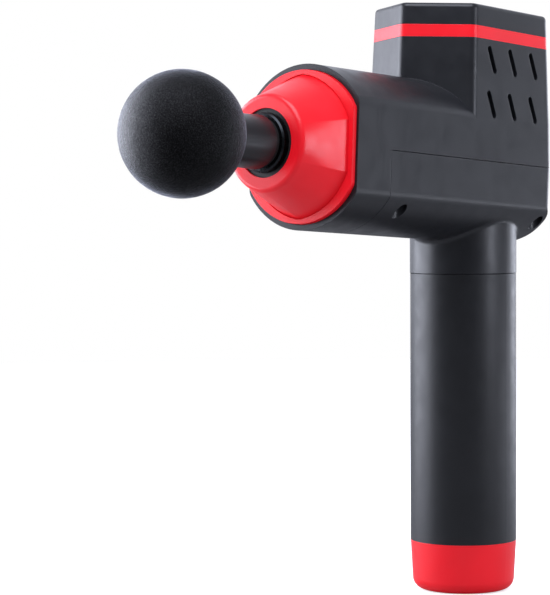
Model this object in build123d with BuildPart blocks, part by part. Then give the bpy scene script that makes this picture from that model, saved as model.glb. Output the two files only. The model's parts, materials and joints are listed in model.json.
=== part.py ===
"""Percussion massage gun: battery handle, head casing, motor, scotch-yoke drive and ball attachment.

All sizes are millimetres. The row frame has +Z up the handle, with its origin at the centre of the
flat foot under the handle. The nose points to -Y and rises by HEAD_TILT. Parts of the head are drawn
on planes of the head frame: x to the side, y to the back along the stroke, z up from the stroke axis.
"""

from build123d import *
import os
from math import atan2, cos, degrees, hypot, radians, sin, sqrt, tan

os.makedirs("parts", exist_ok=True)

# ------------------------------------------------------------------ driving dimensions
WALL = 2.5  # casing wall
GAP = 0.25  # visible parting line between two casings
FIT = 0.05  # radial running clearance of a shaft in its hole

# handle, in the row frame
HANDLE_R = 24.0
COLLAR_R = 24.15  # the cover's collar above the handle
COLLAR_BLEND = 2.5  # rounding where the collar meets the barrel
STROKE_HEIGHT = 193.0  # stroke axis above the foot, on the handle's axis
HEAD_TILT = 3.25  # nose-up angle of the stroke axis
CAP_TOP = 22.6  # parting line of the end cap
SLEEVE_TOP = 144.1  # parting line of the collar

# head casing, in the head frame
BARREL_R = 35.0
HALF_WIDTH = 29.25
BARREL_FRONT = -113.0
BACK = 29.0  # at the stroke axis; the back leans forward above it
HEEL_R = 6.5  # rounding of the lower back corner
CORNER_R = 4.0  # rounding of the upright corners
TOP_EDGE_R = 2.0  # rounding around the top of the block
SOFT_R = 6.0  # rounding between the barrel and its flat sides
FLAT_TOP = sqrt(BARREL_R**2 - HALF_WIDTH**2)  # where the flat sides end
COVER_FRONT = -90.4  # front edge of the lower cover
APEX_Y = -49.0  # front edge of the motor block
SHOULDER_Y = -33.0  # where the block's slanted front meets its sides
BLOCK_TOP = 68.3
TOP_HALF_WIDTH = 28.05  # the block narrows a little towards its top
TOP_BACK = 24.0
BAND_BOTTOM = 53.3
BAND_TOP = 58.7

# nose
NOSE_FRONT = -138.0
NOSE_BORE_R = 14.4
NOSE_TIP_R = 20.0
FLANGE_R = 32.3
FLANGE_HALF_WIDTH = 28.1

# drive
STROKE = 12.0
CRANK_R = STROKE / 2
MOTOR_Y = -6.0
CRANK_PIN_R = 3.0
SHAFT_R = 2.5
ROD_R = 7.0
YOKE_HALF_THICK = 5.0
BLOCK_X, BLOCK_Y = 14.0, 12.0  # slide block on the crank pin
YOKE_PLAY = 1.4  # each side of the slide block, along the stroke
WHEEL_BOTTOM, WHEEL_TOP = 9.4, 13.9
PLATE_BOTTOM, PLATE_TOP = 16.0, 19.0

# attachment
SOCKET_FRONT = -140.5
SOCKET_R = 12.4
SOCKET_BORE_R = 8.05
SHOULDER_FRONT = -143.5  # stem shoulder, ahead of the rubber bumper
STEM_R = 10.85
BALL_R = 25.7
BALL_Y = -187.9

# battery pack
CELL_R = 9.2
CELL_LENGTH = 65.0
CELL_BOTTOM = 19.5
CELL_RING_R = 10.65
COLLAR_BORE_R = 21.5

# ------------------------------------------------------------------ planes of the head
TILT = radians(HEAD_TILT)
HEAD = Plane(origin=(0, 0, STROKE_HEIGHT), x_dir=(1, 0, 0), z_dir=(0, sin(TILT), cos(TILT)))


def level(z, y=0.0, x=0.0):
    """Plane along the stroke: local x to the side, local y to the back, normal up."""
    return Plane(origin=HEAD.from_local_coords((x, y, z)), x_dir=HEAD.x_dir, z_dir=HEAD.z_dir)


def across(y, z=0.0, x=0.0):
    """Plane square to the stroke: local x to the side, local y up, normal to the nose."""
    return Plane(origin=HEAD.from_local_coords((x, y, z)), x_dir=HEAD.x_dir, z_dir=-HEAD.y_dir)


def side(x, y=0.0, z=0.0):
    """Upright plane along the stroke: local x to the back, local y up, normal to +X."""
    return Plane(origin=HEAD.from_local_coords((x, y, z)), x_dir=HEAD.y_dir, z_dir=HEAD.x_dir)


BACK_SLOPE = atan2(BACK - TOP_BACK, BLOCK_TOP)
BACK_NORMAL = HEAD.y_dir * cos(BACK_SLOPE) + HEAD.z_dir * sin(BACK_SLOPE)
BACK_FACE = Plane(origin=HEAD.from_local_coords((0, BACK, 0)), x_dir=-HEAD.x_dir, z_dir=BACK_NORMAL)
MID_BACK = BACK - FLAT_TOP * tan(BACK_SLOPE)  # the leaning back at the height where the flat sides end

FROM_BOTTOM = (Align.CENTER, Align.CENTER, Align.MIN)
FROM_TOP = (Align.CENTER, Align.CENTER, Align.MAX)


# ------------------------------------------------------------------ shared shapes
def barrel_section(radius, half_width):
    """Round section with two flat sides."""
    with BuildSketch() as section:
        Circle(radius)
        Rectangle(2 * half_width, 2 * radius, mode=Mode.INTERSECT)
        fillet(section.vertices(), max(SOFT_R - (BARREL_R - radius), 0.6))
    return section.sketch


def block_section(half_width, back, inset):
    """Five-sided plan of the motor block, drawn in by inset, with rounded corners."""
    with BuildSketch() as section:
        with BuildLine():
            Polyline(
                (0, APEX_Y),
                (half_width, SHOULDER_Y),
                (half_width, back),
                (-half_width, back),
                (-half_width, SHOULDER_Y),
                close=True,
            )
        make_face()
        if inset:
            offset(amount=-inset, kind=Kind.INTERSECTION)
        fillet(section.vertices(), max(CORNER_R - inset, 0.5))
    return section.sketch


def casing_form(inset=0.0, front=BARREL_FRONT):
    """Closed form of the barrel and the motor block, drawn in by inset; the barrel starts at front."""
    radius, half_width, back = BARREL_R - inset, HALF_WIDTH - inset, BACK - inset
    length = back - front
    with BuildPart() as form:
        with BuildSketch(across(front)):
            add(barrel_section(radius, half_width))
        extrude(amount=-length)
        with BuildSketch(side(0)) as profile:
            with Locations((front + length / 2, 0)):
                Rectangle(length, 2 * radius)
            heel = profile.vertices().group_by(Axis.Y)[0].sort_by(Axis.X)[-1]
            fillet(heel, max(HEEL_R - inset, 0.5))
        extrude(amount=half_width, both=True, mode=Mode.INTERSECT)
        with BuildSketch(level(0)) as plan:
            with Locations((0, front + length / 2)):
                Rectangle(2 * half_width, length)
            fillet(plan.vertices().group_by(Axis.Y)[-1], max(CORNER_R - inset, 0.5))
        extrude(amount=radius, both=True, mode=Mode.INTERSECT)
        # above the stroke axis, the motor block takes over from the barrel
        with BuildSketch(level(0)):
            with Locations((0, SHOULDER_Y + 5)):
                Rectangle(3 * radius, 100, align=(Align.CENTER, Align.MIN))
        extrude(amount=radius, mode=Mode.SUBTRACT)
        with BuildSketch(level(0)):
            add(block_section(HALF_WIDTH, BACK, inset))
        with BuildSketch(level(FLAT_TOP)):
            add(block_section(HALF_WIDTH, MID_BACK, inset))
        loft()
        with BuildSketch(level(FLAT_TOP)):
            add(block_section(HALF_WIDTH, MID_BACK, inset))
        with BuildSketch(level(BLOCK_TOP - inset)):
            add(block_section(TOP_HALF_WIDTH, TOP_BACK, inset))
        loft()
    return form.part


def cover_region(shift=0.0):
    """Everything below the stroke axis and behind the front ring; shift opens the parting line."""
    with BuildPart() as region:
        with BuildSketch(side(0)):
            with Locations((COVER_FRONT + shift, -shift)):
                Rectangle(160, 80, align=(Align.MIN, Align.MAX))
        extrude(amount=50, both=True)
    return region.part


def slab(z_low, z_high):
    """Wide slab of the head between two heights."""
    with BuildPart() as layer:
        with BuildSketch(level(z_low)):
            Rectangle(120, 320)
        extrude(amount=z_high - z_low)
    return layer.part


def ring_sector(inner, outer, start, sweep):
    """Flat sector of a ring, from angle start, sweep degrees wide."""
    with BuildSketch() as sector:
        with BuildLine():
            rim = CenterArc((0, 0), outer, start, sweep)
            hub = CenterArc((0, 0), inner, start, sweep)
            Line(rim @ 0, hub @ 0)
            Line(rim @ 1, hub @ 1)
        make_face()
    return sector.sketch


outer_form = casing_form()
inner_form = casing_form(WALL, front=BARREL_FRONT - 5)
skirt_form = casing_form(WALL + 0.1)
skirt_bore = casing_form(WALL + 1.7)


# ------------------------------------------------------------------ upper shell
SLOT_COLUMNS = (-22.5, -6.9, 9.1)
SLOT_ROWS = (50.4, 30.7)
SLOT_RUN, SLOT_DROP = 5.3, 11.8
SLOT_WIDTH = 3.0
COVER_SCREWS = ((24.0, -77.0), (-24.0, -77.0), (24.0, 24.4), (-24.0, 24.4))
COVER_BOSS_R = 3.4
COVER_BOSS_HEIGHT, COVER_PILOT = 11.0, 9.0
SCREW_R = 1.5
COVER_HEAD_Z = -20.0
PLATE_SCREWS = ((22.3, -29.5), (-22.3, -29.5), (22.3, 16.0), (-22.3, 16.0))
CARRIER_SCREWS = ((22.0, 15.5), (-22.0, 15.5), (22.0, -15.5), (-22.0, -15.5))
CARRIER_FRONT, CARRIER_BACK = -102.0, -98.0
BOSS_R = 3.6
BOSS_HEIGHT, PILOT = 8.0, 6.0
PANEL_Z = 37.0
PANEL_WIDTH, PANEL_HEIGHT, PANEL_DEPTH = 36.0, 24.0, 1.2
BUTTON_R = 6.0
LIGHT_R = 1.1
LIGHT_X = (-10.0, -5.0, 0.0, 5.0, 10.0)
LIGHT_DROP = -8.6
PANEL_CORNER_R = 3.0
BUTTON_RISE = 2.5  # the button sits this far above the panel's middle
POSTS = ((14.5, 9), (-14.5, 9), (14.5, -9), (-14.5, -9))  # screw posts of the control board
POST_R, POST_HOLE_R = 2.6, 1.0
BOARD_DEPTH = 7.6  # from the panel's face to the control board
BARB_Y = -108.5
BARB_WIDTH = 8.0

panel_origin = BACK_FACE.from_local_coords((0, PANEL_Z, 0))
panel_face = Plane(origin=panel_origin, x_dir=BACK_FACE.x_dir, z_dir=BACK_FACE.z_dir)

with BuildPart() as upper_shell:
    add(outer_form)
    add(inner_form, mode=Mode.SUBTRACT)
    add(cover_region(), mode=Mode.SUBTRACT)
    add(slab(BAND_BOTTOM, BLOCK_TOP + 5), mode=Mode.SUBTRACT)
    # slanted cooling slots through both sides
    with BuildSketch(side(0)):
        for column in SLOT_COLUMNS:
            for row in SLOT_ROWS:
                with Locations((column + SLOT_RUN / 2, row - SLOT_DROP / 2)):
                    SlotOverall(
                        hypot(SLOT_RUN, SLOT_DROP), SLOT_WIDTH, rotation=-degrees(atan2(SLOT_DROP, SLOT_RUN))
                    )
    extrude(amount=2 * HALF_WIDTH, both=True, mode=Mode.SUBTRACT)
    # bosses for the cover screws, joined to the side walls
    for x, y in COVER_SCREWS:
        with BuildSketch(level(0)):
            with Locations((x, y)):
                Circle(COVER_BOSS_R)
            with Locations((x + (2.5 if x > 0 else -2.5), y)):
                Rectangle(6, 4)
        extrude(amount=COVER_BOSS_HEIGHT)
        with BuildSketch(level(0)):
            with Locations((x, y)):
                Circle(SCREW_R)
        extrude(amount=COVER_PILOT, mode=Mode.SUBTRACT)
    # bosses that carry the motor plate
    for x, y in PLATE_SCREWS:
        with BuildSketch(level(PLATE_TOP)):
            with Locations((x, y)):
                Circle(BOSS_R)
            with Locations((x + (2 if x > 0 else -2), y)):
                Rectangle(6, 5)
        extrude(amount=BOSS_HEIGHT)
        with BuildSketch(level(PLATE_TOP)):
            with Locations((x, y)):
                Circle(SCREW_R)
        extrude(amount=PILOT, mode=Mode.SUBTRACT)
    # bosses in the front ring for the rod carrier
    for x, z in CARRIER_SCREWS:
        with BuildSketch(across(COVER_FRONT)):
            with Locations((x, z)):
                Circle(BOSS_R)
            with Locations((x + (2 if x > 0 else -2), z)):
                Rectangle(6, 5)
        extrude(amount=COVER_FRONT - CARRIER_BACK)
        with BuildSketch(across(CARRIER_BACK + PILOT)):
            with Locations((x, z)):
                Circle(SCREW_R)
        extrude(amount=PILOT, mode=Mode.SUBTRACT)
    add(outer_form, mode=Mode.INTERSECT)
    # pockets for the nose barbs
    with BuildSketch(across(BARB_Y)):
        Rectangle(BARB_WIDTH + 0.4, 2 * (BARREL_R - WALL + 1.0))
    extrude(amount=1.0, both=True, mode=Mode.SUBTRACT)
    # recess and openings of the control panel
    with BuildSketch(panel_face):
        RectangleRounded(PANEL_WIDTH, PANEL_HEIGHT, PANEL_CORNER_R)
    extrude(amount=-PANEL_DEPTH, mode=Mode.SUBTRACT)
    with BuildSketch(panel_face):
        with Locations((0, BUTTON_RISE)):
            Circle(BUTTON_R + 1.2)
        for x in LIGHT_X:
            with Locations((x, LIGHT_DROP)):
                Circle(LIGHT_R)
    extrude(amount=-6, mode=Mode.SUBTRACT)
    # posts for the control board
    with BuildSketch(panel_face.offset(-WALL + 0.5)):
        with Locations(POSTS):
            Circle(POST_R)
    extrude(amount=-(BOARD_DEPTH - WALL + 0.5))
    with BuildSketch(panel_face.offset(-BOARD_DEPTH)):
        with Locations(POSTS):
            Circle(POST_HOLE_R)
    extrude(amount=BOARD_DEPTH - WALL - 1, mode=Mode.SUBTRACT)

# ------------------------------------------------------------------ accent band and top cap
with BuildPart() as accent_band:
    add(outer_form)
    add(inner_form, mode=Mode.SUBTRACT)
    add(slab(BAND_BOTTOM, BAND_TOP), mode=Mode.INTERSECT)

with BuildPart() as top_cap:
    add(outer_form)
    add(slab(BAND_TOP, BLOCK_TOP + 5), mode=Mode.INTERSECT)
    # skirt that holds the band and plugs into the upper shell
    add(skirt_form & slab(BAND_BOTTOM - 3.5, BAND_TOP))
    add(skirt_bore, mode=Mode.SUBTRACT)
    fillet(top_cap.faces().sort_by(Axis((0, 0, 0), HEAD.z_dir))[-1].edges(), TOP_EDGE_R)

# ------------------------------------------------------------------ lower cover with the handle collar
WEB_BOTTOM, WEB_TOP = 155.0, 158.0
NECK_SCREW_RING = 16.6
NECK_SCREW_ANGLES = (60, 180, 300)
RECESS_R = 3.1


def on_collar(edge):
    """True for an edge where the collar meets the barrel."""
    points = (edge @ 0, edge @ 0.3, edge @ 0.7, edge @ 1)
    return edge.geom_type == GeomType.BSPLINE and all(abs(hypot(p.X, p.Y) - COLLAR_R) < 0.02 for p in points)


collar = Cylinder(COLLAR_R, 30, align=FROM_BOTTOM).moved(Location((0, 0, SLEEVE_TOP)))
cover_form = (outer_form + collar) & cover_region(GAP)

with BuildPart() as lower_cover:
    add(cover_form)
    add(inner_form, mode=Mode.SUBTRACT)
    with BuildSketch(Plane.XY.offset(SLEEVE_TOP)):
        Circle(COLLAR_BORE_R)
    extrude(amount=25, mode=Mode.SUBTRACT)
    # web that the handle's neck is screwed to
    with BuildSketch(Plane.XY.offset(WEB_BOTTOM)):
        Circle(COLLAR_BORE_R + 0.5)
        with Locations((0, 11)):
            Circle(5, mode=Mode.SUBTRACT)
        with PolarLocations(NECK_SCREW_RING, 3, start_angle=NECK_SCREW_ANGLES[0]):
            Circle(SCREW_R + 0.1, mode=Mode.SUBTRACT)
    extrude(amount=WEB_TOP - WEB_BOTTOM)
    # columns for the cover screws
    with BuildSketch(level(-GAP)):
        for x, y in COVER_SCREWS:
            with Locations((x, y)):
                Circle(COVER_BOSS_R + 0.8)
            with Locations((x + (2.5 if x > 0 else -2.5), y)):
                Rectangle(6, 4)
    extrude(amount=-BARREL_R)
    add(cover_form, mode=Mode.INTERSECT)
    with BuildSketch(level(-GAP)):
        for x, y in COVER_SCREWS:
            with Locations((x, y)):
                Circle(COVER_BOSS_R)
    extrude(amount=GAP)
    with BuildSketch(level(COVER_HEAD_Z)):
        for x, y in COVER_SCREWS:
            with Locations((x, y)):
                Circle(RECESS_R)
    extrude(amount=-BARREL_R, mode=Mode.SUBTRACT)
    with BuildSketch(level(COVER_HEAD_Z)):
        for x, y in COVER_SCREWS:
            with Locations((x, y)):
                Circle(SCREW_R + 0.1)
    extrude(amount=-COVER_HEAD_Z, mode=Mode.SUBTRACT)
    fillet(lower_cover.edges().filter_by(on_collar), COLLAR_BLEND)


# ------------------------------------------------------------------ screws
def socket_screw(seat, head_r, head_length, shank_length):
    """Socket-head screw: head above the seat plane, shank below it."""
    with BuildPart() as screw:
        with BuildSketch(seat):
            Circle(head_r)
        extrude(amount=head_length)
        with BuildSketch(seat.offset(head_length)):
            RegularPolygon(0.5 * head_r, 6)
        extrude(amount=-0.6 * head_length, mode=Mode.SUBTRACT)
        with BuildSketch(seat):
            Circle(SCREW_R)
        extrude(amount=-shank_length)
    return screw.part


def group(name, pieces):
    """Several loose solids under one name."""
    return Compound(label=name, children=list(pieces))


def ring(plane, outer, inner, length):
    """Plain ring standing on a plane."""
    with BuildPart() as body:
        with BuildSketch(plane):
            Circle(outer)
            Circle(inner, mode=Mode.SUBTRACT)
        extrude(amount=length)
    return body.part


def under(x, y, z):
    """Seat of a screw that is driven upwards, facing down."""
    return Plane(origin=HEAD.from_local_coords((x, y, z)), x_dir=HEAD.x_dir, z_dir=-HEAD.z_dir)


HEAD_R, HEAD_LENGTH = 2.7, 2.3
COVER_SHANK, PLATE_SHANK, CARRIER_SHANK, NECK_SHANK = 28.5, 8.6, 9.5, 12.5
cover_seats = [under(x, y, COVER_HEAD_Z) for x, y in COVER_SCREWS]
shell_screws = group("shell_screws", [socket_screw(seat, 2.8, 2.2, COVER_SHANK) for seat in cover_seats])

# ------------------------------------------------------------------ nose
FLANGE_THICK = 2.2
SKIRT_RECESS = 1.4
SKIRT_POINT = 30.5  # top and bottom points of the skirt
SKIRT_X, SKIRT_Z = 25.9, 11.0  # ends of its flat sides
SKIRT_BULGE = (15.0, 24.6)
TIP_FLAT_ANGLE = 20.0
SKIRT_FRONT = BARREL_FRONT - FLANGE_THICK + SKIRT_RECESS
NOSE_WALL = 2.6
TIP_EDGE_R = 2.4
TUBE_WALL = 2.2  # of the tube inside the tip
TUBE_BACK = -124.0
SPIGOT_BACK = -106.0  # the cone plugs into the barrel up to here
SEAL_BACK, SEAL_FRONT = -126.0, -137.2


def skirt_section(scale=1.0):
    """Section with a point at the top and the bottom, bulging shoulders and flat sides."""
    x, z, point = SKIRT_X * scale, SKIRT_Z * scale, SKIRT_POINT * scale
    bulge_x, bulge_z = SKIRT_BULGE[0] * scale, SKIRT_BULGE[1] * scale
    with BuildSketch() as section:
        with BuildLine():
            ThreePointArc((0, point), (bulge_x, bulge_z), (x, z))
            Line((x, z), (x, -z))
            ThreePointArc((x, -z), (bulge_x, -bulge_z), (0, -point))
            ThreePointArc((0, -point), (-bulge_x, -bulge_z), (-x, -z))
            Line((-x, -z), (-x, z))
            ThreePointArc((-x, z), (-bulge_x, bulge_z), (0, point))
        make_face()
    return section.sketch


def divided_circle(radius):
    """Circle made of six arcs that match the six sides of the skirt."""
    flat = TIP_FLAT_ANGLE
    starts = (90, flat, -flat, -90, flat - 180, -flat - 180, -270)
    with BuildSketch() as section:
        with BuildLine():
            for start, end in zip(starts[:-1], starts[1:]):
                CenterArc((0, 0), radius, start, end - start)
        make_face()
    return section.sketch


def nose_loft(base_y, tip_y, scale, tip_r):
    """Pointed skirt turning into a round tip."""
    with BuildPart() as body:
        with BuildSketch(across(base_y)):
            add(skirt_section(scale))
        with BuildSketch(across(tip_y)):
            add(divided_circle(tip_r))
        loft(ruled=True)
    return body.part


with BuildPart() as nose_cone:
    with BuildSketch(across(BARREL_FRONT)):
        add(barrel_section(FLANGE_R, FLANGE_HALF_WIDTH))
    extrude(amount=FLANGE_THICK)
    with BuildSketch(across(SKIRT_FRONT)):
        add(skirt_section())
    extrude(amount=FLANGE_THICK, mode=Mode.SUBTRACT)
    add(nose_loft(SKIRT_FRONT, NOSE_FRONT, 1.0, NOSE_TIP_R))
    tip_rim = nose_cone.edges().group_by(Axis((0, 0, 0), HEAD.y_dir))[0]
    fillet(tip_rim, TIP_EDGE_R)
    with BuildSketch(across(BARREL_FRONT)):
        add(barrel_section(BARREL_R - WALL - 0.3, HALF_WIDTH - WALL - 0.3))
    extrude(amount=BARREL_FRONT - SPIGOT_BACK)
    add(nose_loft(SPIGOT_BACK, NOSE_FRONT + NOSE_WALL, 0.93, NOSE_TIP_R - NOSE_WALL), mode=Mode.SUBTRACT)
    with BuildSketch(across(TUBE_BACK)):
        Circle(NOSE_BORE_R + TUBE_WALL)
    extrude(amount=TUBE_BACK - NOSE_FRONT - 1)
    with BuildSketch(across(SPIGOT_BACK + 1)):
        Circle(NOSE_BORE_R)
    extrude(amount=40, mode=Mode.SUBTRACT)
    # barbs that catch in the upper shell
    with BuildSketch(across(BARB_Y + 0.7)):
        for z in (-BARREL_R + WALL + 0.3, BARREL_R - WALL - 0.3):
            with Locations((0, z)):
                Rectangle(BARB_WIDTH, 1.4)
    extrude(amount=1.4)

with BuildPart() as nose_seal:
    add(ring(across(SEAL_BACK), NOSE_BORE_R, SOCKET_R + FIT, SEAL_BACK - SEAL_FRONT))

# ------------------------------------------------------------------ motor
PLATE_BACK, PLATE_FRONT = 22.0, -34.0
MOTOR_RING = 13.0
BEARING_R = 8.0
TOP_BEARING_R = 5.5
TUBE_TOP = 44.0
CAN_R = 20.0
BASE_R = CAN_R - 0.5
TEETH = 9
MAGNETS = 12
CSK_R, CSK_DEPTH = 2.9, 1.4  # heads of the motor screws

with BuildPart() as motor_plate:
    with BuildSketch(level(PLATE_BOTTOM)):
        with Locations((0, (PLATE_BACK + PLATE_FRONT) / 2)):
            RectangleRounded(2 * (HALF_WIDTH - WALL - 0.4), PLATE_BACK - PLATE_FRONT, 3.5)
        with Locations((0, MOTOR_Y)):
            Circle(BEARING_R, mode=Mode.SUBTRACT)
        with Locations((-7, PLATE_BACK)):
            Rectangle(12, 12, mode=Mode.SUBTRACT)
        with Locations(PLATE_SCREWS):
            Circle(SCREW_R + 0.1, mode=Mode.SUBTRACT)
    extrude(amount=PLATE_TOP - PLATE_BOTTOM)
    with Locations(level(PLATE_BOTTOM, MOTOR_Y)):
        with PolarLocations(MOTOR_RING, 4, start_angle=45):
            Cone(CSK_R, SCREW_R, CSK_DEPTH, align=FROM_BOTTOM, mode=Mode.SUBTRACT)
            Cylinder(SCREW_R, 10, align=FROM_BOTTOM, mode=Mode.SUBTRACT)

with BuildPart() as motor_screw_set:
    with Locations(level(PLATE_BOTTOM, MOTOR_Y)):
        with PolarLocations(MOTOR_RING, 4, start_angle=45):
            Cone(CSK_R, SCREW_R, CSK_DEPTH, align=FROM_BOTTOM)
            Cylinder(SCREW_R, 5.4, align=FROM_BOTTOM)
            Cylinder(0.9, 0.9, align=FROM_BOTTOM, mode=Mode.SUBTRACT)
motor_screws = group("motor_screws", motor_screw_set.solids())

plate_seats = [under(x, y, PLATE_BOTTOM) for x, y in PLATE_SCREWS]
plate_screws = group(
    "plate_screws", [socket_screw(seat, HEAD_R, HEAD_LENGTH, PLATE_SHANK) for seat in plate_seats]
)

with BuildPart() as motor_base:
    with BuildSketch(level(PLATE_TOP, MOTOR_Y)):
        Circle(BASE_R)
    extrude(amount=3)
    with BuildSketch(level(PLATE_TOP, MOTOR_Y)):
        Circle(7)
    extrude(amount=TUBE_TOP - PLATE_TOP)
    with Locations(level(PLATE_TOP, MOTOR_Y)):
        Cylinder(3.4, 40, align=FROM_BOTTOM, mode=Mode.SUBTRACT)
        Cylinder(BEARING_R - 2.5, 2, align=FROM_BOTTOM, mode=Mode.SUBTRACT)
    with Locations(level(TUBE_TOP, MOTOR_Y)):
        Cylinder(TOP_BEARING_R, 5, align=FROM_TOP, mode=Mode.SUBTRACT)
    with Locations(level(PLATE_TOP, MOTOR_Y)):
        with PolarLocations(MOTOR_RING, 4, start_angle=45):
            Cylinder(SCREW_R, 2.4, align=FROM_BOTTOM, mode=Mode.SUBTRACT)

lower_bearing = ring(level(PLATE_BOTTOM, MOTOR_Y), BEARING_R, SHAFT_R + FIT, PLATE_TOP - PLATE_BOTTOM)
upper_bearing = ring(level(TUBE_TOP - 5, MOTOR_Y), TOP_BEARING_R, SHAFT_R + FIT, 5)
motor_bearings = group("motor_bearings", [lower_bearing, upper_bearing])

STATOR_BOTTOM, STATOR_TOP = 25.0, 38.0
STATOR_R = 15.5
with BuildPart() as stator_core:
    with BuildSketch(level(STATOR_BOTTOM, MOTOR_Y)):
        Circle(9.6)
        with PolarLocations(11.5, TEETH):
            Rectangle(6.5, 2.4)
        for tooth in range(TEETH):
            add(ring_sector(14.1, STATOR_R, tooth * 360 / TEETH - 15, 30))
        Circle(7, mode=Mode.SUBTRACT)
    extrude(amount=STATOR_TOP - STATOR_BOTTOM)

with BuildPart() as coil_set:
    with BuildSketch(level(STATOR_BOTTOM - 1.6, MOTOR_Y)):
        with PolarLocations(11.85, TEETH):
            Rectangle(4.2, 5.0)
    extrude(amount=STATOR_TOP - STATOR_BOTTOM + 3.2)
    add(stator_core.part, mode=Mode.SUBTRACT)
stator_windings = group("stator_windings", coil_set.solids())

CAN_BOTTOM, CAN_TOP = 23.0, 46.5
with BuildPart() as rotor_can:
    with BuildSketch(level(CAN_BOTTOM, MOTOR_Y)):
        Circle(CAN_R)
    extrude(amount=CAN_TOP - CAN_BOTTOM)
    fillet(rotor_can.edges().group_by(Axis((0, 0, 0), HEAD.z_dir))[-1], 1.5)
    with BuildSketch(level(CAN_TOP, MOTOR_Y)):
        Circle(6)
    extrude(amount=2.5)
    with Locations(level(CAN_BOTTOM, MOTOR_Y)):
        Cylinder(CAN_R - 1.8, CAN_TOP - CAN_BOTTOM - 2, align=FROM_BOTTOM, mode=Mode.SUBTRACT)
        Cylinder(SHAFT_R, 30, align=FROM_BOTTOM, mode=Mode.SUBTRACT)
        with PolarLocations(11.5, 6):
            Cylinder(3, 30, align=FROM_BOTTOM, mode=Mode.SUBTRACT)

with BuildPart() as magnet_set:
    with BuildSketch(level(CAN_BOTTOM + 1.5, MOTOR_Y)):
        for magnet in range(MAGNETS):
            add(ring_sector(STATOR_R + 0.7, CAN_R - 1.8, magnet * 360 / MAGNETS - 13, 26))
    extrude(amount=17)
rotor_magnets = group("rotor_magnets", magnet_set.solids())

with BuildPart() as motor_shaft:
    with BuildSketch(level(WHEEL_BOTTOM, MOTOR_Y)):
        Circle(SHAFT_R)
    extrude(amount=CAN_TOP + 2.5 - WHEEL_BOTTOM)

# ------------------------------------------------------------------ crank and yoke
COUNTERWEIGHT_TOP = 15.2
YOKE_HALF_WIDTH = 18.0
YOKE_HALF_LENGTH = BLOCK_Y / 2 + YOKE_PLAY + 4
SLOT_HALF_WIDTH = BLOCK_X / 2 + CRANK_R + 0.5
REST_Y = MOTOR_Y + CRANK_R  # the pin starts at its rearmost point
SPIGOT_R = 3.5
ROD_BACK = REST_Y - YOKE_HALF_LENGTH
ROD_FRONT = -110.0
SOCKET_BACK = -105.0

with BuildPart() as crank_wheel:
    with BuildSketch(level(WHEEL_BOTTOM, MOTOR_Y)):
        Circle(12)
        add(ring_sector(8, 18.5, -155, 130))
        Circle(SHAFT_R, mode=Mode.SUBTRACT)
        with Locations((0, CRANK_R)):
            Circle(CRANK_PIN_R, mode=Mode.SUBTRACT)
    extrude(amount=WHEEL_TOP - WHEEL_BOTTOM)
    with BuildSketch(level(WHEEL_TOP, MOTOR_Y)):
        add(ring_sector(11, 18.5, -155, 130))
    extrude(amount=COUNTERWEIGHT_TOP - WHEEL_TOP)

with BuildPart() as crank_pin:
    with BuildSketch(level(-6.4, REST_Y)):
        Circle(CRANK_PIN_R)
    extrude(amount=WHEEL_TOP + 6.4)
    with BuildSketch(level(-6.6, REST_Y)):
        Circle(4.6)
    extrude(amount=1.3)
    with BuildSketch(level(YOKE_HALF_THICK + 0.2, REST_Y)):
        Circle(4.4)
    extrude(amount=WHEEL_BOTTOM - YOKE_HALF_THICK - 0.2)

with BuildPart() as slide_block:
    with BuildSketch(level(-YOKE_HALF_THICK, REST_Y)):
        RectangleRounded(BLOCK_X, BLOCK_Y, 1)
        Circle(CRANK_PIN_R + FIT, mode=Mode.SUBTRACT)
    extrude(amount=2 * YOKE_HALF_THICK)

with BuildPart() as yoke:
    with BuildSketch(level(-YOKE_HALF_THICK, REST_Y)):
        RectangleRounded(2 * YOKE_HALF_WIDTH, 2 * YOKE_HALF_LENGTH, 2)
        RectangleRounded(2 * SLOT_HALF_WIDTH, BLOCK_Y + 2 * YOKE_PLAY, 0.9, mode=Mode.SUBTRACT)
    extrude(amount=2 * YOKE_HALF_THICK)
    with Locations(across(ROD_BACK)):
        Cylinder(8.9, 8, align=FROM_BOTTOM)
        Cylinder(ROD_R, 8, align=FROM_BOTTOM, mode=Mode.SUBTRACT)
        Cylinder(SPIGOT_R, 5, align=FROM_TOP, mode=Mode.SUBTRACT)

with BuildPart() as piston_rod:
    with Locations(across(ROD_BACK)):
        Cylinder(ROD_R, ROD_BACK - ROD_FRONT, align=FROM_BOTTOM)
        Cylinder(SPIGOT_R, 3.5, align=FROM_TOP)

with BuildPart() as attachment_socket:
    with Locations(across(SOCKET_BACK)):
        Cylinder(SOCKET_R, SOCKET_BACK - SOCKET_FRONT, align=FROM_BOTTOM)
    rims = attachment_socket.edges().filter_by(GeomType.CIRCLE)
    chamfer(rims, 0.7)
    with Locations(across(SOCKET_BACK)):
        Cylinder(ROD_R, SOCKET_BACK - ROD_FRONT, align=FROM_BOTTOM, mode=Mode.SUBTRACT)
    with Locations(across(ROD_FRONT - 1)):
        Cylinder(SOCKET_BORE_R, 40, align=FROM_BOTTOM, mode=Mode.SUBTRACT)

with BuildPart() as socket_bumper:
    add(ring(across(SOCKET_FRONT), 10.3, SOCKET_BORE_R + 0.1, SOCKET_FRONT - SHOULDER_FRONT - 0.1))

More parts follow.
